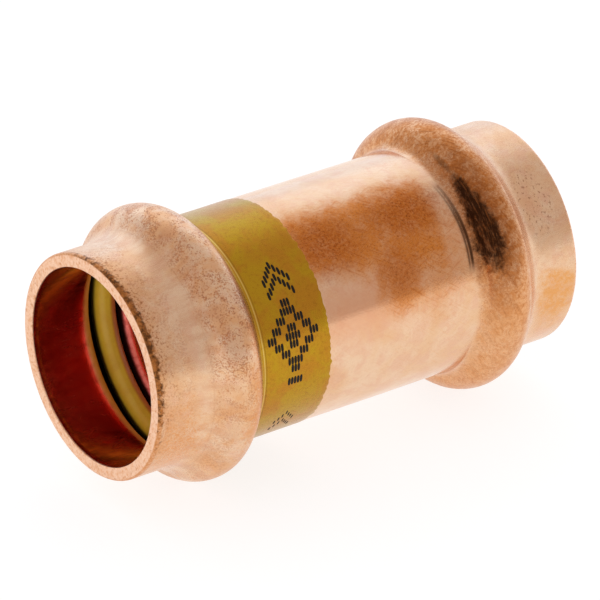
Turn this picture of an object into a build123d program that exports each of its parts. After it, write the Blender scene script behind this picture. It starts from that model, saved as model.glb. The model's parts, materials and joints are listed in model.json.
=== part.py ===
"""Straight press-fit coupling for nominal 1/2 inch copper gas tube.

A one-piece copper tube with a rolled bead near each end. Each bead holds a moulded
sealing ring, and a yellow marking band is painted round the barrel beside one bead.
The bore has no stop for the tubes.
Units are millimetres. The bore runs along X, the origin is the centre of the part and
+Z is up when it lies on its two beads. "Near" is the -X end, which carries the band.
"""

from build123d import *

import os
from math import sqrt

# Tube that the coupling joins
TUBE_DIAMETER = 15.875
SOCKET_CLEARANCE = 0.1125  # radial, tube to bore

# Copper body
OVERALL_LENGTH = 40.8
SOCKET_WALL = 1.15
BEAD_WALL = 1.04  # at the crest, thinned by forming
FLANK_WALL = 0.94  # thinned more on the bead's flanks
BEAD_FROM_RIM = 7.2  # rim face to the middle of the bead
BEAD_MOUTH_FILLET = 2.6  # on the outside
BEAD_BARREL_FILLET = 0.9  # on the outside
RIM_OUTER_ROUND = 0.25
RIM_INNER_ROUND = 0.12

# Groove inside each bead
GROOVE_INSET = 0.10  # how far its middle lies beyond the bead's, from the rim
GROOVE_SIDE_ROOM = 0.28  # either side of the ring
GROOVE_MOUTH_FILLET = 1.9
GROOVE_BARREL_FILLET = 1.3

# Sealing ring, oval in section
SEAL_HALF_WIDTH = 0.92
SEAL_HALF_HEIGHT = 1.07
SEAL_INSET = 0.12  # how far its middle lies beyond the groove's, from the rim
SEAL_RIB_RADIUS = 0.16
SEAL_RIB_HEIGHT = 0.04  # how far the rib stands out of the oval section
SEAL_TUBE_CLEARANCE = 0.0225  # radial, before pressing
SEAL_GROOVE_CLEARANCE = 0.04  # radial, to the bottom of the groove

# Painted marking band
BAND_END_FROM_RIM = 16.3
PAINT_THICKNESS = 0.05

bore_radius = TUBE_DIAMETER / 2 + SOCKET_CLEARANCE
barrel_radius = bore_radius + SOCKET_WALL
seal_inner_radius = TUBE_DIAMETER / 2 + SEAL_TUBE_CLEARANCE
seal_centre_radius = seal_inner_radius + SEAL_RIB_HEIGHT + SEAL_HALF_HEIGHT
groove_bottom_radius = seal_centre_radius + SEAL_HALF_HEIGHT + SEAL_GROOVE_CLEARANCE
groove_arc_radius = SEAL_HALF_WIDTH + GROOVE_SIDE_ROOM
crest_arc_radius = groove_arc_radius + FLANK_WALL

near_rim_x = -OVERALL_LENGTH / 2
bead_x = near_rim_x + BEAD_FROM_RIM
groove_x = bead_x + GROOVE_INSET
seal_x = groove_x + SEAL_INSET

# Middles of the near bead's two arcs, outside and inside
crest = Vector(bead_x, groove_bottom_radius + BEAD_WALL - crest_arc_radius)
groove = Vector(groove_x, groove_bottom_radius - groove_arc_radius)


def edge_arc(centre, radius, start, end):
    """The short arc about centre from start to end, which both lie on the circle."""
    middle = (start + end) / 2
    outward = (middle - centre).normalized()
    return ThreePointArc(start, centre + outward * radius, end)


def fillet_points(side, base_radius, middle, arc_radius, fillet_radius):
    """Centre of the fillet between the arc about middle and the cylinder beside it, its
    foot on that cylinder and its tangent point on the arc. side is -1 towards the near rim."""
    rise = base_radius + fillet_radius - middle.Y
    run = sqrt((arc_radius + fillet_radius) ** 2 - rise**2)
    centre = Vector(middle.X + side * run, base_radius + fillet_radius)
    foot = Vector(centre.X, base_radius)
    tangent = middle + (centre - middle).normalized() * arc_radius
    return centre, foot, tangent


def half_outline(base_radius, middle, arc_radius, mouth_fillet, barrel_fillet, start):
    """Edges from start on the near rim over the near bead to the middle of the part."""
    mouth_centre, mouth_foot, mouth_tangent = fillet_points(
        -1, base_radius, middle, arc_radius, mouth_fillet
    )
    barrel_centre, barrel_foot, barrel_tangent = fillet_points(
        1, base_radius, middle, arc_radius, barrel_fillet
    )
    top = middle + Vector(0, arc_radius)
    return [
        Line(start, mouth_foot),
        edge_arc(mouth_centre, mouth_fillet, mouth_foot, mouth_tangent),
        ThreePointArc(mouth_tangent, top, barrel_tangent),
        edge_arc(barrel_centre, barrel_fillet, barrel_tangent, barrel_foot),
        Line(barrel_foot, Vector(0, base_radius)),
    ]


def rim_outline():
    """The near rim's rounded edges and flat face, from the outside to the bore."""
    outer_start = Vector(near_rim_x + RIM_OUTER_ROUND, barrel_radius)
    outer_centre = outer_start - Vector(0, RIM_OUTER_ROUND)
    face_top = Vector(near_rim_x, outer_centre.Y)
    inner_end = Vector(near_rim_x + RIM_INNER_ROUND, bore_radius)
    inner_centre = inner_end + Vector(0, RIM_INNER_ROUND)
    face_bottom = Vector(near_rim_x, inner_centre.Y)
    edges = [
        edge_arc(outer_centre, RIM_OUTER_ROUND, outer_start, face_top),
        Line(face_top, face_bottom),
        edge_arc(inner_centre, RIM_INNER_ROUND, face_bottom, inner_end),
    ]
    return edges, outer_start, inner_end


def revolved(edges):
    """The solid that a closed outline in the XY plane sweeps round the bore's axis."""
    return revolve(make_face(edges), axis=Axis.X, revolution_arc=360)


def coupling_body():
    rim, outer_start, inner_end = rim_outline()
    outside = half_outline(
        barrel_radius,
        crest,
        crest_arc_radius,
        BEAD_MOUTH_FILLET,
        BEAD_BARREL_FILLET,
        outer_start,
    )
    inside = half_outline(
        bore_radius,
        groove,
        groove_arc_radius,
        GROOVE_MOUTH_FILLET,
        GROOVE_BARREL_FILLET,
        inner_end,
    )
    near_half = [*rim, *outside, *inside]
    far_half = [mirror(edge, about=Plane.YZ) for edge in near_half]
    return revolved([*near_half, *far_half])


def seal_ring(x):
    """Oval-section ring with a fine moulded rib round the middle of its inner face."""
    section = Pos(x, seal_centre_radius) * Ellipse(SEAL_HALF_WIDTH, SEAL_HALF_HEIGHT)
    rib = Pos(x, seal_inner_radius + SEAL_RIB_RADIUS) * Circle(SEAL_RIB_RADIUS)
    return revolve((section + rib).faces(), axis=Axis.X, revolution_arc=360)


def marking_band():
    """Paint film from the near bead's flank, over its fillet and along the barrel."""
    fillet = BEAD_BARREL_FILLET
    centre, foot, tangent = fillet_points(1, barrel_radius, crest, crest_arc_radius, fillet)
    outward = (centre - tangent).normalized()
    film = Vector(0, PAINT_THICKNESS)
    end = Vector(near_rim_x + BAND_END_FROM_RIM, barrel_radius)
    flank = tangent + outward * PAINT_THICKNESS
    return revolved(
        [
            edge_arc(centre, fillet, tangent, foot),
            Line(foot, end),
            Line(end, end + film),
            Line(end + film, foot + film),
            edge_arc(centre, fillet - PAINT_THICKNESS, foot + film, flank),
            Line(flank, tangent),
        ]
    )


def main():
    nodes = {
        "coupling_body": coupling_body(),
        "near_seal_ring": seal_ring(seal_x),
        "far_seal_ring": seal_ring(-seal_x),
        "gas_marking_band": marking_band(),
    }
    os.makedirs("parts", exist_ok=True)
    for name, shape in nodes.items():
        export_step(shape, f"parts/{name}.step")


main()
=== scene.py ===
"""Looks of the straight copper press coupling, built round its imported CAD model.

Metres, in the CAD's own frame: the bore runs along X, and "near" is the -X end, which
carries the yellow band. A turn is an angle round the bore from -Y towards +Z. Marks on
the surface are placed in millimetres from the near rim and degrees of turn.
"""
import json
from math import atan2, cos, degrees, dist, pi, radians, sin, sqrt

import bmesh
import bpy
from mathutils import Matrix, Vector, noise


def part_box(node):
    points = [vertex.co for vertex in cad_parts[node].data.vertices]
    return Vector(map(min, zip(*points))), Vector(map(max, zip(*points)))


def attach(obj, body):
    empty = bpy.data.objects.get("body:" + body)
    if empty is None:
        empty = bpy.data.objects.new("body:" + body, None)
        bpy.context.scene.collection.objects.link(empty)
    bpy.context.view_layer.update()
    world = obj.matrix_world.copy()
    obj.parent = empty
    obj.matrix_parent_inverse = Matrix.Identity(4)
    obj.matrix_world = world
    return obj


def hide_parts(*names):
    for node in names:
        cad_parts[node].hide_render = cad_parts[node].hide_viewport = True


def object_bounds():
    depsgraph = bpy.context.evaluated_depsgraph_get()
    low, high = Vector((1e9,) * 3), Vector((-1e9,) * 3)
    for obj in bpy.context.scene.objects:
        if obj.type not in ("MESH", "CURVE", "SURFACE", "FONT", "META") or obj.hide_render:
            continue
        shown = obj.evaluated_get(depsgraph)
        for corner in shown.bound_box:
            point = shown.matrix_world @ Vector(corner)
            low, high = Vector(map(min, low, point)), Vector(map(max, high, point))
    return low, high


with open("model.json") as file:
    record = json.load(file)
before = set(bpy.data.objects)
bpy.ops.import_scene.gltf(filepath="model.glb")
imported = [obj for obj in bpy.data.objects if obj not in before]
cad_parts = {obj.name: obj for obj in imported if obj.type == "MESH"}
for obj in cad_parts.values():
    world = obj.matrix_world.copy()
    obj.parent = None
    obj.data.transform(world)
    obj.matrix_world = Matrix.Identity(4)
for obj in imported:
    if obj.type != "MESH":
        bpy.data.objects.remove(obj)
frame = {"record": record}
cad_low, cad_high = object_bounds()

MM = 0.001
SAME_POINT = 1e-7

# Sizes that the frame gives
body_low, body_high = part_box("coupling_body")
ring_low, ring_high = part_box("near_seal_ring")
_, band_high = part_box("gas_marking_band")
mounts = {mount["name"]: mount for mount in frame["record"]["mounts"]}
NEAR_RIM_X = body_low.x
CREST_RADIUS = body_high.z
BORE_RADIUS = mounts["near_socket"]["dims"]["r_mm"] * MM
SEAL_X = (ring_low.x + ring_high.x) / 2
SEAL_HALF_WIDTH = (ring_high.x - ring_low.x) / 2
SEAL_OUTER_RADIUS = ring_high.z
BAND_END_X = band_high.x

# Sizes of the formed copper that its box doesn't give
SOCKET_WALL = 1.15 * MM
BEAD_WALL = 1.04 * MM
BEAD_X = NEAR_RIM_X + 7.2 * MM
CREST_ARC = 2.14 * MM
BEAD_MOUTH_FILLET = 2.6 * MM
BEAD_BARREL_FILLET = 0.9 * MM
GROOVE_X = NEAR_RIM_X + 7.3 * MM
GROOVE_ARC = 1.2 * MM
GROOVE_MOUTH_FILLET = 1.9 * MM
GROOVE_BARREL_FILLET = 1.3 * MM
RIM_OUTER_ROUND = 0.25 * MM
RIM_INNER_ROUND = 0.12 * MM
BARREL_RADIUS = BORE_RADIUS + SOCKET_WALL
CREST_MIDDLE = (BEAD_X, CREST_RADIUS - CREST_ARC)
GROOVE_MIDDLE = (GROOVE_X, CREST_RADIUS - BEAD_WALL - GROOVE_ARC)

# How many steps the meshes take round the bore, and round a ring's section
SEGMENTS = 320
RING_SEGMENTS = 240
RING_STEPS = 72

# Sealing rings, which lie loose and so lean a little further in on one side
SEAL_HALF_HEIGHT = 1.07 * MM
RIB_RADIUS = 0.16 * MM
RIB_PROUD = 0.05 * MM
LEAN = 0.14 * MM
LEAN_SHIFT = 0.05 * MM
LEAN_TURN = -140
LEAN_HALF_TURN = 62

# Paint and ink films
PAINT_PROUD = 0.03 * MM
PAINT_SUNK = 0.04 * MM
INK_PROUD = 0.012 * MM
PAINT_FEATHER = 0.12 * MM

# The crescent-shaped double tool scratch at the far bead's foot, in mm and degrees
SCRATCH_FROM_RIM = 30.90
SCRATCH_GAP = 0.30
SCRATCH_BOW = 0.30
SCRATCH_TURN = 43
SCRATCH_HALF_TURN = 27
SCRATCH_DEPTH = 0.045

# The crumbly residue on the near rim's edge, in mm and degrees
RESIDUE_TURN = 44
RESIDUE_HALF_TURN = 62
RESIDUE_HEIGHT = 0.05

# Studio
WHITE = (1.0, 1.0, 1.0, 1.0)
FLOOR_RADIUS = 20.0
FLOOR_DROP = 0.02 * MM
FLOOR_COLOUR = (0.34, 0.34, 0.34, 1.0)
FLOOR_GLOW = 0.80
ROOM_COLOUR = (0.68, 0.62, 0.60, 1.0)
WALL_COLOUR = (1.08, 1.18, 1.36, 1.0)
WALL_AZIMUTH = radians(28)
LAMP_SIZE = (1.2, 0.9)
LAMP_PLACE = (0.35, 0.65, 0.70)
LAMP_WATTS = 0.35

# Camera
CAMERA_AZIMUTH = radians(-36.35)
CAMERA_ELEVATION = radians(26.73)
CAMERA_DISTANCE = 492.7 * MM
CAMERA_LENS = 374.0
CAMERA_SENSOR = 36.0
AIM_RIGHT = -0.237 * MM
AIM_UP = -0.200 * MM


# ------------------------------------------------------------------ shape


def on_surface(along, radius, turn):
    """The point at that X, distance from the bore's axis and turn."""
    return Vector((along, -radius * cos(turn), radius * sin(turn)))


def bump(distance, reach):
    """1 at no distance, falling smoothly to 0 at reach."""
    share = min(abs(distance) / reach, 1.0)
    return (1 - share * share) ** 2


def turn_gap(turn, centre):
    """The signed angle from centre to turn, both in degrees."""
    return (turn - centre + 180) % 360 - 180


def arc(centre, radius, start, end, steps):
    """Points (x, r) on a circle from the angle start to the angle end."""
    angles = [start + (end - start) * i / steps for i in range(steps + 1)]
    return [(centre[0] + radius * cos(a), centre[1] + radius * sin(a)) for a in angles]


def straight(start, end, steps):
    """Points (x, r) after start and before end, evenly spaced."""
    shares = [i / steps for i in range(1, steps)]
    return [
        (start[0] + (end[0] - start[0]) * s, start[1] + (end[1] - start[1]) * s)
        for s in shares
    ]


def bead(base_radius, middle, arc_radius, mouth_fillet, barrel_fillet, steps):
    """The near bead as three arcs of points: mouth fillet, crest and barrel fillet."""
    centres = []
    angles = []
    for side, fillet in ((-1, mouth_fillet), (1, barrel_fillet)):
        rise = base_radius + fillet - middle[1]
        run = sqrt((arc_radius + fillet) ** 2 - rise**2)
        centres.append((middle[0] + side * run, base_radius + fillet))
        angles.append(atan2(rise, side * run))
    return (
        arc(centres[0], mouth_fillet, -pi / 2, angles[0] - pi, steps),
        arc(middle, arc_radius, angles[0], angles[1], 3 * steps),
        arc(centres[1], barrel_fillet, angles[1] + pi, 3 * pi / 2, steps),
    )


def joined(*runs):
    """Runs of points as one, without the points that two runs share."""
    points = []
    for point in [p for run in runs for p in run]:
        if not points or dist(point, points[-1]) > SAME_POINT:
            points.append(point)
    return points


OUTER_BEAD = bead(
    BARREL_RADIUS, CREST_MIDDLE, CREST_ARC, BEAD_MOUTH_FILLET, BEAD_BARREL_FILLET, 8
)
INNER_BEAD = bead(
    BORE_RADIUS, GROOVE_MIDDLE, GROOVE_ARC, GROOVE_MOUTH_FILLET, GROOVE_BARREL_FILLET, 7
)


def unevenness(along, turn):
    """How far the formed copper's outside stands off a true body of revolution."""
    from_rim = (along - NEAR_RIM_X) / MM
    place = on_surface(along, BARREL_RADIUS, turn) / MM
    off_bead = min(abs(along - BEAD_X), abs(along + BEAD_X)) / MM
    oval = 0.012 * cos(2 * turn + 0.7)
    waves = 0.018 * noise.noise(place / 7.0) + 0.003 * noise.noise(place / 1.8)
    forming = 0.020 * noise.noise(place / 3.1 + Vector((9, 0, 0))) * bump(off_bead, 3.4)
    ripple = 0.010 * sin(2 * pi * from_rim / 1.15) * bump(from_rim - 4.2, 2.4)
    return (oval + waves + forming + ripple) * MM


def scratch(along, turn):
    """Depth of the double tool scratch."""
    gap = turn_gap(degrees(turn), SCRATCH_TURN)
    if abs(gap) > SCRATCH_HALF_TURN:
        return 0.0
    from_rim = (along - NEAR_RIM_X) / MM + SCRATCH_BOW * (gap / SCRATCH_HALF_TURN) ** 2
    first = bump(from_rim - SCRATCH_FROM_RIM, 0.14)
    second = 0.7 * bump(from_rim - SCRATCH_FROM_RIM + SCRATCH_GAP, 0.12)
    return SCRATCH_DEPTH * MM * max(first, second) * bump(gap, SCRATCH_HALF_TURN)


def rim_roughness(along, turn):
    """Residue and burrs along the near rim's outer edge on one side."""
    at_edge = bump(along - NEAR_RIM_X - 0.15 * MM, 0.60 * MM)
    if at_edge == 0.0:
        return 0.0
    side = bump(turn_gap(degrees(turn), RESIDUE_TURN), RESIDUE_HALF_TURN)
    place = on_surface(along, BARREL_RADIUS, turn) / MM
    lumps = noise.noise(place * 0.8) * 0.5 + noise.noise(place * 1.5) * 0.6
    return RESIDUE_HEIGHT * MM * lumps * at_edge * side


def outside_radius(along, radius, turn):
    """The real copper's radius where the true shape's is radius."""
    dent = scratch(along, turn)
    return radius + unevenness(along, turn) + rim_roughness(along, turn) - dent


def finished(name, mesh, materials, body="root", smooth_below=40):
    """An object from a bmesh, with faces outwards, materials and a body to ride on."""
    bmesh.ops.recalc_face_normals(mesh, faces=mesh.faces)
    data = bpy.data.meshes.new(name)
    mesh.to_mesh(data)
    mesh.free()
    for material in materials:
        data.materials.append(material)
    data.shade_smooth()
    data.set_sharp_from_angle(angle=radians(smooth_below))
    piece = bpy.data.objects.new(name, data)
    bpy.context.scene.collection.objects.link(piece)
    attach(piece, body)
    return piece


def lathe(outline, radius_at, segments=SEGMENTS):
    """A closed bmesh swept round the bore from outline, a loop of (x, r, material).

    radius_at(x, r, turn, material) gives each vertex its real x and radius."""
    mesh = bmesh.new()
    rings = []
    for i in range(segments):
        turn = 2 * pi * i / segments
        places = [on_surface(*radius_at(x, r, turn, m), turn) for x, r, m in outline]
        rings.append([mesh.verts.new(place) for place in places])
    count = len(outline)
    for i in range(segments):
        this, following = rings[i], rings[(i + 1) % segments]
        for j in range(count):
            k = (j + 1) % count
            face = mesh.faces.new((this[j], this[k], following[k], following[j]))
            face.material_index = outline[j][2]
    return mesh


OUTSIDE, CUT, BORE = range(3)


def near_outline():
    """The near half of the copper's outline, from mid bore round the rim to mid barrel."""
    outer_rim = arc(
        (NEAR_RIM_X + RIM_OUTER_ROUND, BARREL_RADIUS - RIM_OUTER_ROUND),
        RIM_OUTER_ROUND, pi, pi / 2, 4,
    )
    inner_rim = arc(
        (NEAR_RIM_X + RIM_INNER_ROUND, BORE_RADIUS + RIM_INNER_ROUND),
        RIM_INNER_ROUND, -pi / 2, -pi, 2,
    )
    groove = joined(*INNER_BEAD)[::-1]
    crest = joined(*OUTER_BEAD)
    inside = joined(
        [(0.0, BORE_RADIUS)],
        straight((0.0, BORE_RADIUS), groove[0], 12),
        groove,
        straight(groove[-1], inner_rim[0], 8),
    )
    cut = joined(inner_rim, straight(inner_rim[-1], outer_rim[0], 6), outer_rim[:-1])
    outside = joined(
        [outer_rim[-1]],
        straight(outer_rim[-1], crest[0], 12),
        crest,
        straight(crest[-1], (0.0, BARREL_RADIUS), 24),
        [(0.0, BARREL_RADIUS)],
    )
    runs = ((inside, BORE), (cut, CUT), (outside, OUTSIDE))
    return [(x, r, material) for run, material in runs for x, r in run]


def coupling_body(materials):
    """The one-piece copper tube with its two rolled beads."""
    near = near_outline()
    # the middle's two points are shared, and a face takes its first point's material
    far = [(-near[i][0], near[i][1], near[i - 1][2]) for i in range(len(near) - 2, 0, -1)]

    def radius_at(x, r, turn, material):
        if material == OUTSIDE or r > BARREL_RADIUS - RIM_OUTER_ROUND:
            return x, outside_radius(x, r, turn)
        if material == CUT:
            place = on_surface(x, r, turn) / MM
            return x + 0.012 * MM * noise.noise(place / 1.6), r + unevenness(x, turn)
        return x, r + 0.5 * unevenness(x, turn)

    return finished("coupling_body_copper", lathe(near + far, radius_at), materials)


def seal_ring(name, side, material):
    """An oval-section rubber ring with a moulded rib; side is -1 at the near end.

    It leans a little further from its rim on one side than on the other."""
    angles = [2 * pi * i / RING_STEPS for i in range(RING_STEPS)]
    middle_radius = SEAL_OUTER_RADIUS - SEAL_HALF_HEIGHT
    outline = [
        (SEAL_HALF_WIDTH * cos(a), middle_radius + SEAL_HALF_HEIGHT * sin(a), 0) for a in angles
    ]

    def radius_at(across, r, turn, _):
        lean = LEAN * bump(turn_gap(degrees(turn), LEAN_TURN), LEAN_HALF_TURN) - LEAN_SHIFT
        rib = RIB_PROUD * bump(across, 1.5 * RIB_RADIUS) if r < middle_radius else 0.0
        place = on_surface(across, r, turn) / MM
        radius = r - rib + 0.006 * MM * noise.noise(place / 2.0)
        return -side * (SEAL_X + across + lean), radius

    return finished(name, lathe(outline, radius_at, RING_SEGMENTS), [material])


def band_edge(turn):
    """How far the sprayed band's far edge wanders from its straight line."""
    round_the_bore = Vector((cos(turn), sin(turn), 0)) * (BARREL_RADIUS / MM)
    wander = 0.07 * noise.noise(round_the_bore / 2.5)
    ragged = 0.17 * noise.noise(round_the_bore * 2.4 + Vector((0, 0, 5)))
    return (wander + ragged) * MM


def marking_band(material):
    """The paint film from the near bead's flank along the barrel to its ragged edge."""
    fillet = OUTER_BEAD[2]
    start_x = fillet[0][0]
    end = (BAND_END_X, BARREL_RADIUS)
    surface = joined(fillet, straight(fillet[-1], end, 34), [end])
    top = [(x, r, 0) for x, r in surface]
    under = [(x, r, 1) for x, r in surface[::-1]]

    def radius_at(x, r, turn, side):
        share = (x - start_x) / (BAND_END_X - start_x)
        along = x + band_edge(turn) * max(0.0, share) ** 6
        thin = min(1.0, (BAND_END_X - x) / PAINT_FEATHER, 0.2 + (x - start_x) / (0.3 * MM))
        height = -PAINT_SUNK if side else PAINT_PROUD * max(0.15, thin)
        return along, outside_radius(along, r, turn) + height

    mesh = lathe(top + under, radius_at, 2 * SEGMENTS)
    for face in mesh.faces:
        face.material_index = 0
    return finished("gas_marking_band_paint", mesh, [material])


# Ink: a generic diamond under chevrons, built from rows of short dashes
DASH_LENGTH = 0.64 * MM
DASH_WIDTH = 0.235 * MM
FAINT_LENGTH = 0.44 * MM
FAINT_WIDTH = 0.12 * MM
COLUMN_PITCH = 0.285 * MM
ROW_PITCH = 0.66 * MM
MARK_X = NEAR_RIM_X + 12.9 * MM
MARK_TURN = 16.0


def dash(mesh, middle_x, middle_turn, length, width):
    """One printed dash: a thin raised tile with blunt ends that follows the paint."""
    steps = 4
    top = []
    low = []
    for i in range(steps + 1):
        place = 2 * i / steps - 1
        turn = middle_turn + place * length / 2 / BARREL_RADIUS
        half_width = width / 2 * (0.6 + 0.4 * sqrt(1 - place**4))
        ends = (middle_x - half_width, middle_x + half_width)
        for row, lift in ((top, PAINT_PROUD + INK_PROUD), (low, PAINT_PROUD - INK_PROUD)):
            radii = [outside_radius(x, BARREL_RADIUS, turn) + lift for x in ends]
            row.append([mesh.verts.new(on_surface(x, r, turn)) for x, r in zip(ends, radii)])
    for i in range(steps):
        mesh.faces.new((top[i][0], top[i][1], top[i + 1][1], top[i + 1][0]))
        mesh.faces.new((low[i][0], low[i + 1][0], low[i + 1][1], low[i][1]))
        for side in (0, 1):
            mesh.faces.new((top[i][side], top[i + 1][side], low[i + 1][side], low[i][side]))
    for i in (0, steps):
        mesh.faces.new((top[i][0], top[i][1], low[i][1], low[i][0]))


def diamond():
    """Column and row of each dash of a thick stepped outline with a small solid one inside."""
    marks = []
    for row in range(-4, 5):
        edge = 8 - 1.7 * abs(row)
        core = 3 - 1.5 * abs(row)
        for column in range(-8, 9):
            if edge - 3 < abs(column) <= edge or abs(column) < core:
                marks.append((column, row))
    return marks


def chevrons(first, count, half):
    """Column and row of each dash of a stack of chevrons that point round the band."""
    columns = range(-half, half + 1)
    return [(c, first + 1.6 * k - 0.5 * abs(c)) for k in range(count) for c in columns]


def band_print(material):
    """The mark on the band, from generic dashes only."""
    mesh = bmesh.new()
    bar = [(column, -5.7) for column in range(-2, 3)]
    main = diamond() + chevrons(7.2, 2, 4) + bar
    faint = chevrons(-12.6, 2, 3)
    kinds = ((main, DASH_LENGTH, DASH_WIDTH), (faint, FAINT_LENGTH, FAINT_WIDTH))
    for marks, length, width in kinds:
        for column, row in marks:
            slip = 0.07 * noise.noise(Vector((column * 0.9, row * 1.3, 0)))
            turn = radians(MARK_TURN) + (row + slip) * ROW_PITCH / BARREL_RADIUS
            dash(mesh, MARK_X + column * COLUMN_PITCH, turn, length, width)
    return finished("band_print_ink", mesh, [material])


# -------------------------------------------------------------- materials


def shade(red, green, blue):
    """A display colour, 0 to 255 a channel, as the linear colour that shaders take."""
    linear = []
    for channel in (red / 255, green / 255, blue / 255):
        if channel > 0.04045:
            linear.append(((channel + 0.055) / 1.055) ** 2.4)
        else:
            linear.append(channel / 12.92)
    return (*linear, 1.0)


def colour_mix(tree):
    """A new node that mixes two colours, as its share, its two colours and its result."""
    node = tree.nodes.new("ShaderNodeMix")
    node.data_type = "RGBA"
    inputs = {socket.identifier: socket for socket in node.inputs}
    outputs = {socket.identifier: socket for socket in node.outputs}
    return inputs["Factor_Float"], inputs["A_Color"], inputs["B_Color"], outputs["Result_Color"]


class Shader:
    """One material's nodes, with short calls that add a node and give its output."""

    def __init__(self, name, **settings):
        self.material = bpy.data.materials.new(name)
        self.material.use_nodes = True
        self.tree = self.material.node_tree
        self.surface = self.tree.nodes["Principled BSDF"]
        for socket, value in settings.items():
            self.surface.inputs[socket.replace("_", " ")].default_value = value
        place = self.tree.nodes.new("ShaderNodeTexCoord").outputs["Object"]
        self.place = self.stretch(place, (1 / MM, 1 / MM, 1 / MM))
        parts = self.add("ShaderNodeSeparateXYZ", self.place)
        x, y, z = parts.outputs
        self.from_rim = self.math("SUBTRACT", x, NEAR_RIM_X / MM)
        self.from_end = self.math("SUBTRACT", -NEAR_RIM_X / MM, self.math("ABSOLUTE", x))
        self.radius = self.length(y, z)
        around = self.math("ARCTAN2", z, self.math("MULTIPLY", y, -1))
        self.turn = self.math("MULTIPLY", around, 180 / pi)
        girth = self.math("MULTIPLY", around, BARREL_RADIUS / MM)
        self.flat = self.add("ShaderNodeCombineXYZ", self.from_rim, girth).outputs[0]

    def add(self, kind, *inputs):
        """A new node of that kind, with its first inputs fed."""
        node = self.tree.nodes.new(kind)
        for socket, value in zip(node.inputs, inputs):
            self.feed(socket, value)
        return node

    def feed(self, socket, value):
        """Link value to socket if it is another node's output, or else set it there."""
        if isinstance(value, bpy.types.NodeSocket):
            self.tree.links.new(value, socket)
        else:
            socket.default_value = value

    def math(self, operation, *values):
        node = self.add("ShaderNodeMath", *values)
        node.operation = operation
        return node.outputs[0]

    def stretch(self, vector, scale, turned=0.0):
        """Coordinates turned about Z, and then made to vary scale times as fast."""
        for setting, value in (("Rotation", (0, 0, turned)), ("Scale", scale)):
            node = self.tree.nodes.new("ShaderNodeMapping")
            self.feed(node.inputs["Vector"], vector)
            node.inputs[setting].default_value = value
            vector = node.outputs[0]
        return vector

    def noise(self, scale, detail=3.0, rough=0.55, warp=0.0, vector=None):
        """Noise of about one blotch per 1/scale millimetres, from 0 to 1."""
        node = self.tree.nodes.new("ShaderNodeTexNoise")
        self.feed(node.inputs["Vector"], vector or self.place)
        node.inputs["Scale"].default_value = scale
        node.inputs["Detail"].default_value = detail
        node.inputs["Roughness"].default_value = rough
        node.inputs["Distortion"].default_value = warp
        return node.outputs["Fac"]

    def ramp(self, value, low, high, start=0.0, end=1.0):
        """start where value is low and end where it is high, with a smooth change."""
        node = self.tree.nodes.new("ShaderNodeMapRange")
        node.interpolation_type = "SMOOTHSTEP"
        for socket, number in zip(node.inputs, (value, low, high, start, end)):
            self.feed(socket, number)
        return node.outputs[0]

    def times(self, *values):
        product = values[0]
        for value in values[1:]:
            product = self.math("MULTIPLY", product, value)
        return product

    def length(self, one, other):
        """The length of a vector from its two parts."""
        squares = self.math("ADD", self.times(one, one), self.times(other, other))
        return self.math("SQRT", squares)

    def most(self, *values):
        largest = values[0]
        for value in values[1:]:
            largest = self.math("MAXIMUM", largest, value)
        return largest

    def mix(self, share, below, above):
        """above laid over below, as far as share says."""
        *inputs, result = colour_mix(self.tree)
        for socket, value in zip(inputs, (share, below, above)):
            self.feed(socket, value)
        return result

    def patch(self, from_rim, turn, half_length, half_turn, ragged=None, soft=0.6):
        """1 inside an oval on the surface, 0 outside, with an edge that ragged breaks up."""
        along = self.math("DIVIDE", self.math("SUBTRACT", self.from_rim, from_rim), half_length)
        around = self.math("DIVIDE", self.math("SUBTRACT", self.turn, turn), half_turn)
        distance = self.length(along, around)
        if ragged is not None:
            distance = self.math("ADD", distance, ragged)
        return self.ramp(distance, 1 + soft / 2, 1 - soft / 2)

    def gap(self, value, centre):
        """How far value is from centre, either way."""
        return self.math("ABSOLUTE", self.math("SUBTRACT", value, centre))

    def zone(self, from_rim, half_length, soft=1.0):
        """1 round the whole part within half_length of a distance from the near rim."""
        gap = self.gap(self.from_rim, from_rim)
        return self.ramp(gap, half_length + soft / 2, half_length - soft / 2)

    def bump(self, height, distance, below=None):
        """A normal raised by height times distance, on top of the normal below."""
        node = self.tree.nodes.new("ShaderNodeBump")
        node.inputs["Strength"].default_value = 1.0
        node.inputs["Distance"].default_value = distance
        self.feed(node.inputs["Height"], height)
        if below is not None:
            self.feed(node.inputs["Normal"], below)
        return node.outputs[0]

    def finish(self, colour, roughness=None, normal=None):
        """The material, with its surface fed from what is given."""
        fed = (("Base Color", colour), ("Roughness", roughness), ("Normal", normal))
        for name, value in fed:
            if value is not None:
                self.feed(self.surface.inputs[name], value)
        return self.material


def ragged_noise(s, scale, amount, detail=4.0, warp=0.0):
    """Noise centred on 0, for breaking up a patch's edge."""
    centred = s.math("SUBTRACT", s.noise(scale, detail, 0.65, warp), 0.5)
    return s.math("MULTIPLY", centred, amount)


def hairs(s, turned, fineness, low, high):
    """Fine wiped lines on the unrolled surface, at an angle to the bore."""
    along_hair = s.stretch(s.flat, (0.55, fineness, 1.0), radians(turned))
    return s.ramp(s.noise(1.0, 3.0, 0.6, 0.35, along_hair), low, high)


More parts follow.
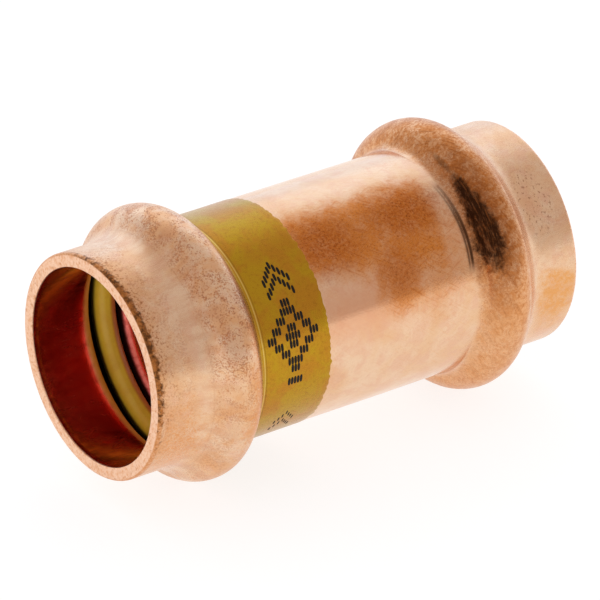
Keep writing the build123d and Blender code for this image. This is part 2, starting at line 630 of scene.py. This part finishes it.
def brown_film(s, grain):
    """How thick the handling stain is on the barrel, and its darkest parts.

    Its lower edge slants down from the band to a ragged lobe."""
    edge = s.math("ADD", ragged_noise(s, 0.7, 1.5, 6.0, 0.4), ragged_noise(s, 3.5, 0.5))
    turn = s.math("MULTIPLY_ADD", edge, 13, s.turn)
    slant = s.math("MULTIPLY_ADD", s.from_rim, 1.8, turn)
    sheet = s.times(
        s.ramp(turn, 83, 66),
        s.ramp(slant, 62, 80),
        s.ramp(s.math("ADD", s.from_rim, edge), 30.6, 27.8),
    )
    lobe = s.times(s.patch(24.0, 25, 2.3, 16, edge, 1.0), 0.85)
    thin = s.times(s.patch(27.2, 30, 4.2, 25, edge, 1.2), 0.60)
    cores = s.most(
        s.patch(18.4, 54, 3.0, 14, edge, 1.5),
        s.patch(26.7, 58, 3.2, 13, edge, 1.5),
        s.times(s.patch(23.9, 30, 1.7, 12, edge, 1.3), 0.7),
    )
    wiped = s.ramp(s.noise(0.8, 6.0, 0.7, 0.5), 0.34, 0.56, 0.72, 1.0)
    crumbly = s.ramp(s.noise(6.5, 3.0, 0.65), 0.42, 0.56, 0.90, 1.0)
    on_barrel = s.ramp(s.from_rim, 16.1, 16.3)
    film = s.times(s.most(sheet, lobe, thin), wiped, crumbly, on_barrel)
    return film, s.times(cores, s.ramp(grain, 0.40, 0.60, 0.45, 1.0), on_barrel)


def dirtiness(s):
    """How far each stretch of the part is tarnished, from 0 to 1.

    A stretch is its middle from the near rim, half its length, how softly it ends, and
    its tarnish."""
    stretches = (
        (0.4, 0.9, 1.4, 0.60),
        (2.2, 1.6, 1.4, 0.40),
        (6.8, 2.0, 1.6, 0.80),
        (8.6, 0.7, 0.8, 0.95),
        (17.0, 1.2, 1.6, 0.25),
        (23.5, 7.0, 1.0, 0.08),
        (33.0, 2.0, 1.0, 0.90),
        (38.4, 2.8, 1.6, 0.30),
    )
    zones = [s.times(s.zone(x, half, soft), much) for x, half, soft, much in stretches]
    return s.most(*zones)


def base_copper(s, grain):
    """Bright drawn copper with soft pink and pale mottling."""
    broad = s.noise(0.22, 3.0, 0.6, 0.6)
    pink = s.ramp(s.noise(0.75, 4.0, 0.62, 0.5), 0.46, 0.64)
    colour = s.mix(s.ramp(broad, 0.38, 0.62), shade(236, 202, 169), shade(232, 190, 150))
    colour = s.mix(s.times(pink, 0.50), colour, shade(229, 180, 150))
    return s.mix(s.ramp(grain, 0.46, 0.72, 0.0, 0.20), colour, shade(212, 152, 116))


def tarnished(s, colour, dirt, grain):
    """Orange wash in drifts, with fine brown speckle that is densest inside them."""
    drifts = s.ramp(s.noise(0.45, 5.0, 0.65, 0.7), 0.40, 0.60)
    wash = s.times(drifts, dirt)
    colour = s.mix(s.times(wash, 0.75), colour, shade(226, 164, 108))
    crowds = s.ramp(s.noise(0.7, 5.0, 0.7, 0.4), 0.36, 0.60, -0.05, 0.10)
    flecks = s.ramp(s.math("ADD", s.noise(7.5, 3.0, 0.7), crowds), 0.55, 0.66)
    upper = s.ramp(s.turn, -30, 30, 0.45, 1.0)
    flecks = s.times(flecks, s.ramp(dirt, 0.05, 0.8, 0.0, 1.0), upper)
    tone = s.mix(s.ramp(grain, 0.4, 0.6), shade(156, 88, 60), shade(192, 112, 56))
    return s.mix(s.times(flecks, 0.72), colour, tone), wash, flecks


def near_slope_marks(s, colour):
    """Soft staves on the near bead's front slope, orange drifts on its lower side and a
    faint fine line round its foot."""
    staves = s.ramp(s.noise(1.0, 3.0, 0.6, 0.0, s.stretch(s.flat, (0.2, 0.9, 1.0))), 0.42, 0.62)
    colour = s.mix(s.times(staves, s.zone(4.9, 1.5, 1.4), 0.35), colour, shade(206, 150, 112))
    edge = ragged_noise(s, 1.4, 2.2, 6.0)
    on_spigot = s.patch(2.3, -28, 1.9, 24, edge, 1.4)
    on_bead = s.patch(8.3, -20, 1.0, 34, edge, 1.2)
    drifts = s.most(on_spigot, on_bead)
    crumbly = s.ramp(s.noise(5.5, 5.0, 0.75), 0.42, 0.60, 0.20, 1.0)
    colour = s.mix(s.times(drifts, crumbly, 0.80), colour, shade(222, 146, 78))
    return s.mix(s.times(s.zone(4.85, 0.04, 0.10), 0.15), colour, shade(176, 116, 80))


def far_bead_marks(s, colour, grain):
    """The far bead's mottled orange-brown film and its scorched patch, and the patch alone."""
    on_bead = s.zone(33.0, 1.7, 1.6)
    # Painted shading: the dark mottle fades towards the lower side so that side looks lit; the
    # mottle itself is tarnish
    painted_side_shading = s.ramp(s.turn, -20, 40, 0.38, 1.0)
    mottle = s.ramp(s.noise(1.3, 7.0, 0.75, 0.7), 0.44, 0.56)
    crumbly = s.ramp(s.noise(4.5, 4.0, 0.7, 0.4), 0.46, 0.58)
    hatch = hairs(s, 62, 7.0, 0.50, 0.62)
    colour = s.mix(s.times(on_bead, 0.70), colour, shade(228, 168, 116))
    colour = s.mix(s.times(on_bead, mottle, painted_side_shading, 0.72), colour, shade(202, 122, 52))
    colour = s.mix(s.times(on_bead, crumbly, painted_side_shading, 0.60), colour, shade(180, 100, 36))
    colour = s.mix(s.times(on_bead, hatch, mottle, painted_side_shading, 0.50), colour, shade(146, 80, 36))
    edge = s.math("ADD", ragged_noise(s, 1.4, 1.3, 6.0, 0.4), ragged_noise(s, 4.5, 0.7))
    halo = s.patch(32.2, 40, 1.3, 34, edge, 1.4)
    scorch = s.most(
        s.patch(31.80, 52, 0.36, 11, edge, 0.9),
        s.patch(31.95, 42, 0.62, 12, edge, 0.8),
        s.patch(32.05, 31, 0.85, 13, edge, 0.9),
    )
    trace = s.times(s.patch(31.80, 72, 0.14, 7, edge, 1.2), 0.45)
    streaks = s.noise(1.0, 5.0, 0.7, 0.3, s.stretch(s.flat, (6.0, 0.8, 1.0)))
    torn = s.ramp(streaks, 0.46, 0.64, 1.0, 0.60)
    singed = s.times(halo, s.ramp(grain, 0.40, 0.58, 0.6, 1.0), 0.80)
    colour = s.mix(singed, colour, shade(140, 74, 32))
    return s.mix(s.times(s.most(scorch, trace), torn, 0.96), colour, shade(50, 27, 15)), scorch


def foot_lines(s, colour):
    """Dark lines in the double tool scratch."""
    bow = s.math("DIVIDE", s.math("SUBTRACT", s.turn, SCRATCH_TURN), SCRATCH_HALF_TURN)
    place = s.math("MULTIPLY_ADD", s.times(bow, bow), SCRATCH_BOW, s.from_rim)
    lines = s.most(
        s.ramp(s.gap(place, SCRATCH_FROM_RIM), 0.20, 0.06),
        s.times(s.ramp(s.gap(place, SCRATCH_FROM_RIM - SCRATCH_GAP), 0.15, 0.04), 0.8),
    )
    off_middle = s.gap(place, SCRATCH_FROM_RIM - SCRATCH_GAP / 2)
    between = s.times(s.ramp(off_middle, 0.45, 0.10), 0.45)
    ends = s.times(s.ramp(s.math("ABSOLUTE", bow), 1.0, 0.7), s.ramp(bow, 0.9, -0.2, 0.45, 1.0))
    return s.mix(s.times(s.most(lines, between), ends, 0.92), colour, shade(66, 38, 22))


def far_spigot_marks(s, colour):
    """Rows of fine dots, and a mottled orange patch whose upper edge slants."""
    rows = s.stretch(s.flat, (2.6, 2.0, 1.0), radians(20))
    dots = s.ramp(s.noise(1.7, 1.0, 0.5, 0.0, rows), 0.60, 0.67)
    dotted = s.patch(38.0, 42, 1.6, 17, ragged_noise(s, 0.8, 0.8), 0.6)
    colour = s.mix(s.times(dots, dotted, 0.60), colour, shade(150, 96, 66))
    patch = s.patch(38.9, -6, 1.9, 20, ragged_noise(s, 1.3, 1.9, 6.0), 1.1)
    mottle = s.ramp(s.noise(1.6, 5.0, 0.7, 0.5), 0.36, 0.58, 0.45, 1.0)
    ragged_turn = s.math("ADD", s.turn, ragged_noise(s, 1.6, 7.0))
    slant = s.math("MULTIPLY_ADD", s.from_rim, 2.7, ragged_turn)
    below = s.ramp(slant, 112.5, 107.0)
    return s.mix(s.times(patch, below, mottle, 0.85), colour, shade(226, 158, 86))


def rim_residue(s, colour):
    """An orange line round the near rim's outer edge, with dark crumbs on one side, and
    the crumbs alone."""
    outside = s.times(s.ramp(s.radius, 8.98, 9.08), s.ramp(s.from_rim, 6.0, 5.0))
    fine = s.noise(5.0, 4.0, 0.7)
    line = s.times(s.zone(0.14, 0.20, 0.2), s.ramp(fine, 0.35, 0.6, 0.4, 1.0), outside)
    colour = s.mix(s.times(line, 0.80), colour, shade(206, 132, 66))
    spread = s.times(s.patch(0.2, 50, 1.7, 62, ragged_noise(s, 1.0, 1.6, 5.0), 1.4), outside)
    colour = s.mix(s.times(spread, 0.40), colour, shade(216, 152, 96))
    colour = s.mix(s.times(spread, s.ramp(fine, 0.52, 0.62), 0.80), colour, shade(158, 92, 46))
    edge = ragged_noise(s, 2.2, 2.6, 6.0)
    crumbs = s.times(s.patch(0.08, RESIDUE_TURN, 0.50, 50, edge, 0.60), outside)
    lighter = s.ramp(s.noise(1.9, 6.0, 0.78), 0.42, 0.60)
    tone = s.mix(lighter, shade(84, 50, 25), shade(186, 116, 58))
    return s.mix(s.times(crumbs, 0.93), colour, tone), crumbs


def copper_outside():
    """Drawn copper, bright and satin, with tarnish, stains and a scorched patch."""
    s = Shader("copper_outside", Metallic=1.0)
    grain = s.noise(4.6, 4.0, 0.7)
    drawn = s.noise(1.0, 4.0, 0.6, vector=s.stretch(s.place, (0.25, 3.2, 3.2)))
    dirt = dirtiness(s)
    colour = base_copper(s, grain)
    colour, wash, flecks = tarnished(s, colour, dirt, grain)
    film, cores = brown_film(s, grain)
    wipes = s.most(hairs(s, 38, 6.0, 0.55, 0.64), hairs(s, -25, 6.0, 0.57, 0.66))
    specks = s.ramp(s.noise(7.0, 2.0, 0.6, 0.3), 0.56, 0.64)
    colour = s.mix(s.times(wipes, s.zone(23.4, 7.2, 0.6), 0.14), colour, shade(222, 156, 98))
    rosy_edge = ragged_noise(s, 0.8, 1.2, 5.0)
    rosy = s.times(s.patch(19.6, 18, 5.0, 14, rosy_edge, 1.8), s.zone(23.4, 7.1, 0.2))
    colour = s.mix(s.times(rosy, 0.70), colour, shade(224, 160, 120))
    colour = s.mix(film, colour, shade(214, 132, 60))
    colour = s.mix(s.times(film, wipes, 0.50), colour, shade(184, 98, 36))
    colour = s.mix(s.times(cores, 0.85), colour, shade(176, 90, 30))
    specked = s.times(s.most(cores, s.times(film, 0.5)), specks, 0.75)
    colour = s.mix(specked, colour, shade(126, 66, 28))
    colour = near_slope_marks(s, colour)
    colour, scorch = far_bead_marks(s, colour, grain)
    colour = foot_lines(s, colour)
    colour = far_spigot_marks(s, colour)
    colour, crumbs = rim_residue(s, colour)
    off_barrel = s.math("SUBTRACT", 1.0, s.zone(20.4, 11.3, 1.2))
    rough = s.math("ADD", s.ramp(drawn, 0.3, 0.7, 0.13, 0.20), s.times(off_barrel, 0.10))
    crusted = s.most(scorch, crumbs)
    for mask, more in ((wash, 0.06), (film, 0.08), (flecks, 0.10), (crusted, 0.25)):
        rough = s.math("ADD", rough, s.times(mask, more))
    skin = s.bump(grain, 0.004 * MM)
    lines = s.bump(drawn, 0.003 * MM, below=skin)
    crust = s.bump(s.times(crusted, grain), 0.04 * MM, below=lines)
    return s.finish(colour, rough, crust)


def copper_cut():
    """The sawn and deburred rim faces."""
    s = Shader("copper_cut", Metallic=1.0)
    grain = s.noise(4.0, 5.0, 0.7)
    colour = s.mix(s.ramp(grain, 0.4, 0.7), shade(243, 200, 168), shade(226, 164, 118))
    specks = s.ramp(s.noise(2.2, 4.0, 0.7), 0.56, 0.70, 0.0, 0.7)
    colour = s.mix(specks, colour, shade(186, 116, 64))
    colour = rim_residue(s, colour)[0]
    rough = s.ramp(grain, 0.3, 0.7, 0.26, 0.40)
    return s.finish(colour, rough, s.bump(grain, 0.012 * MM))


def copper_bore():
    """Reddened copper, browner at the mouth, with a painted highlight on the lip and painted
    shade in the grooves.
    """
    s = Shader("copper_bore", Metallic=1.0)
    clouds = s.noise(0.5, 4.0, 0.6, 0.5)
    grain = s.noise(4.0, 4.0, 0.7)
    streaks = s.noise(0.8, 5.0, 0.7, 0.8, s.stretch(s.place, (0.5, 1.3, 1.3)))
    colour = s.mix(s.ramp(clouds, 0.40, 0.60), shade(238, 122, 114), shade(222, 104, 94))
    colour = s.mix(s.times(s.ramp(streaks, 0.48, 0.62), 0.7), colour, shade(190, 72, 62))
    colour = s.mix(s.ramp(grain, 0.45, 0.8, 0.0, 0.3), colour, shade(170, 72, 58))
    inner = s.ramp(s.from_end, 8.8, 9.6)
    colour = s.mix(s.times(inner, 0.8), colour, shade(224, 142, 104))
    brown = s.times(s.ramp(s.from_end, 4.0, 0.5), 0.5)
    colour = s.mix(brown, colour, shade(168, 70, 58))
    mouth = s.times(s.ramp(s.from_end, 2.2, 0.1), s.ramp(s.noise(1.5, 6.0, 0.75), 0.42, 0.56))
    colour = s.mix(s.times(mouth, 0.8), colour, shade(150, 70, 44))
    # Painted highlight: a pale orange-yellow band on the groove's lip, which is also made
    # rougher
    painted_lip_highlight = s.times(s.ramp(s.from_end, 4.7, 5.3), s.ramp(s.from_end, 6.4, 6.1))
    colour = s.mix(s.times(painted_lip_highlight, 0.95), colour, shade(255, 206, 124))
    # Painted shade: near-black on the groove's floor and back wall, which are also made rougher
    groove_floor = s.ramp(s.radius, 8.80, 9.00)
    groove_back = s.times(s.ramp(s.radius, 8.32, 8.60), s.ramp(s.from_end, 7.2, 7.6))
    painted_groove_shade = s.times(s.most(groove_floor, groove_back), 0.96)
    colour = s.mix(painted_groove_shade, colour, shade(34, 19, 13))
    matt = s.times(s.most(painted_groove_shade, painted_lip_highlight), 0.42)
    rough = s.math("ADD", s.ramp(streaks, 0.3, 0.7, 0.14, 0.30), matt)
    return s.finish(colour, rough, s.bump(grain, 0.005 * MM))


def yellow_paint():
    """Yellow paint, shaded as tinted metal because the copper shows through it."""
    s = Shader("yellow_paint", Metallic=1.0)
    clouds = s.noise(0.42, 4.0, 0.6, 0.5)
    grain = s.noise(3.6, 4.0, 0.65)
    colour = s.mix(s.ramp(clouds, 0.36, 0.64), shade(184, 143, 34), shade(185, 128, 38))
    colour = s.mix(s.ramp(grain, 0.48, 0.72, 0.0, 0.5), colour, shade(158, 106, 32))
    # Painted highlight: a pale line along the bead's foot
    colour = s.mix(s.times(s.zone(9.98, 0.05, 0.08), 0.6), colour, shade(230, 200, 120))
    # Painted shade: a darker line in the concave foot just past the bead
    colour = s.mix(s.times(s.zone(10.15, 0.04, 0.08), 0.5), colour, shade(128, 88, 36))
    rough = s.ramp(grain, 0.3, 0.7, 0.22, 0.30)
    return s.finish(colour, rough, s.bump(grain, 0.006 * MM))


def print_ink():
    """Black ink, slightly uneven where the paint shows through."""
    s = Shader("print_ink", Specular_IOR_Level=0.2)
    wear = s.noise(5.0, 4.0, 0.7)
    colour = s.mix(s.ramp(wear, 0.58, 0.8, 0.0, 0.5), shade(22, 15, 10), shade(72, 50, 22))
    return s.finish(colour, s.ramp(wear, 0.3, 0.7, 0.45, 0.65), s.bump(wear, 0.004 * MM))


def seal_rubber():
    """Moulded yellow rubber, with a painted orange reflection towards its back and painted
    shade deep in the groove.
    """
    s = Shader("seal_rubber", Specular_IOR_Level=0.4)
    clouds = s.noise(0.7, 4.0, 0.6)
    grain = s.noise(6.0, 4.0, 0.6)
    colour = s.mix(s.ramp(clouds, 0.35, 0.7), shade(244, 216, 66), shade(236, 200, 60))
    # Painted reflection: the ring turns orange towards its back, as if reflecting the copper
    colour = s.mix(s.ramp(s.from_end, 7.30, 7.75), colour, shade(244, 170, 80))
    colour = s.mix(s.ramp(grain, 0.55, 0.85, 0.0, 0.4), colour, shade(196, 150, 48))
    # Painted shade: dark on the ring's front where it sits deep in the groove
    painted_crevice_shade = s.times(s.ramp(s.radius, 8.75, 9.15), s.ramp(s.from_end, 7.6, 7.3))
    colour = s.mix(s.times(painted_crevice_shade, 0.92), colour, shade(40, 28, 12))
    return s.finish(colour, s.ramp(clouds, 0.3, 0.7, 0.30, 0.44), s.bump(grain, 0.004 * MM))


# ------------------------------------------------------------------ stage


def floor():
    """A plain, faintly glowing white table, big enough that its edge is far off."""
    mesh = bmesh.new()
    bmesh.ops.create_circle(mesh, cap_ends=True, segments=96, radius=FLOOR_RADIUS)
    data = bpy.data.meshes.new("floor")
    mesh.to_mesh(data)
    mesh.free()
    s = Shader("floor_white", Roughness=0.9, Specular_IOR_Level=0.1)
    s.surface.inputs["Emission Color"].default_value = WHITE
    s.surface.inputs["Emission Strength"].default_value = FLOOR_GLOW
    data.materials.append(s.finish(FLOOR_COLOUR))
    piece = bpy.data.objects.new("floor", data)
    piece.location.z = cad_low.z - FLOOR_DROP
    bpy.context.scene.collection.objects.link(piece)


def studio():
    """A soft, slightly warm room with one wide, cool bright wall behind the part.

    The camera sees plain white in place of the room itself."""
    world = bpy.data.worlds.new("studio")
    bpy.context.scene.world = world
    world.use_nodes = True
    tree = world.node_tree
    background = tree.nodes["Background"]
    direction = tree.nodes.new("ShaderNodeTexCoord").outputs["Generated"]
    facing = tree.nodes.new("ShaderNodeVectorMath")
    facing.operation = "DOT_PRODUCT"
    tree.links.new(direction, facing.inputs[0])
    facing.inputs[1].default_value = (sin(WALL_AZIMUTH), cos(WALL_AZIMUTH), 0)
    wall = tree.nodes.new("ShaderNodeMapRange")
    wall.interpolation_type = "SMOOTHSTEP"
    tree.links.new(facing.outputs["Value"], wall.inputs["Value"])
    wall.inputs["From Min"].default_value = 0.30
    wall.inputs["From Max"].default_value = 0.85
    wall_share, room_colour, wall_colour, room = colour_mix(tree)
    tree.links.new(wall.outputs["Result"], wall_share)
    room_colour.default_value = ROOM_COLOUR
    wall_colour.default_value = WALL_COLOUR
    rays = tree.nodes.new("ShaderNodeLightPath")
    seen_share, lighting, backdrop, seen = colour_mix(tree)
    tree.links.new(rays.outputs["Is Camera Ray"], seen_share)
    tree.links.new(room, lighting)
    backdrop.default_value = WHITE
    tree.links.new(seen, background.inputs["Color"])


def softbox():
    """One large, faint lamp above and behind the part."""
    data = bpy.data.lights.new("softbox", "AREA")
    data.shape = "RECTANGLE"
    data.size, data.size_y = LAMP_SIZE
    data.energy = LAMP_WATTS
    lamp = bpy.data.objects.new("softbox", data)
    lamp.location = LAMP_PLACE
    lamp.rotation_mode = "QUATERNION"
    lamp.rotation_quaternion = lamp.location.to_track_quat("Z", "Y")
    bpy.context.scene.collection.objects.link(lamp)


def camera():
    """The camera, turned and raised as the view needs and aimed just off the centre."""
    forward = Vector((
        -sin(CAMERA_AZIMUTH) * cos(CAMERA_ELEVATION),
        cos(CAMERA_AZIMUTH) * cos(CAMERA_ELEVATION),
        -sin(CAMERA_ELEVATION),
    ))
    data = bpy.data.cameras.new("camera")
    data.lens = CAMERA_LENS
    data.sensor_width = CAMERA_SENSOR
    data.clip_start = 0.01
    piece = bpy.data.objects.new("camera", data)
    piece.rotation_mode = "QUATERNION"
    piece.rotation_quaternion = forward.to_track_quat("-Z", "Y")
    right = piece.rotation_quaternion @ Vector((1, 0, 0))
    up = piece.rotation_quaternion @ Vector((0, 1, 0))
    piece.location = right * AIM_RIGHT + up * AIM_UP - forward * CAMERA_DISTANCE
    bpy.context.scene.collection.objects.link(piece)
    bpy.context.scene.camera = piece


# -------------------------------------------------------------------- all


body = coupling_body([copper_outside(), copper_cut(), copper_bore()])
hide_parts("coupling_body")

rubber = seal_rubber()
for end, side in (("near", -1), ("far", 1)):
    ring = seal_ring(f"{end}_seal_ring_rubber", side, rubber)
    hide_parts(f"{end}_seal_ring")

band = marking_band(yellow_paint())
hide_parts("gas_marking_band")

ink = band_print(print_ink())

floor()
studio()
softbox()
camera()
bpy.context.scene.view_settings.view_transform = "Standard"
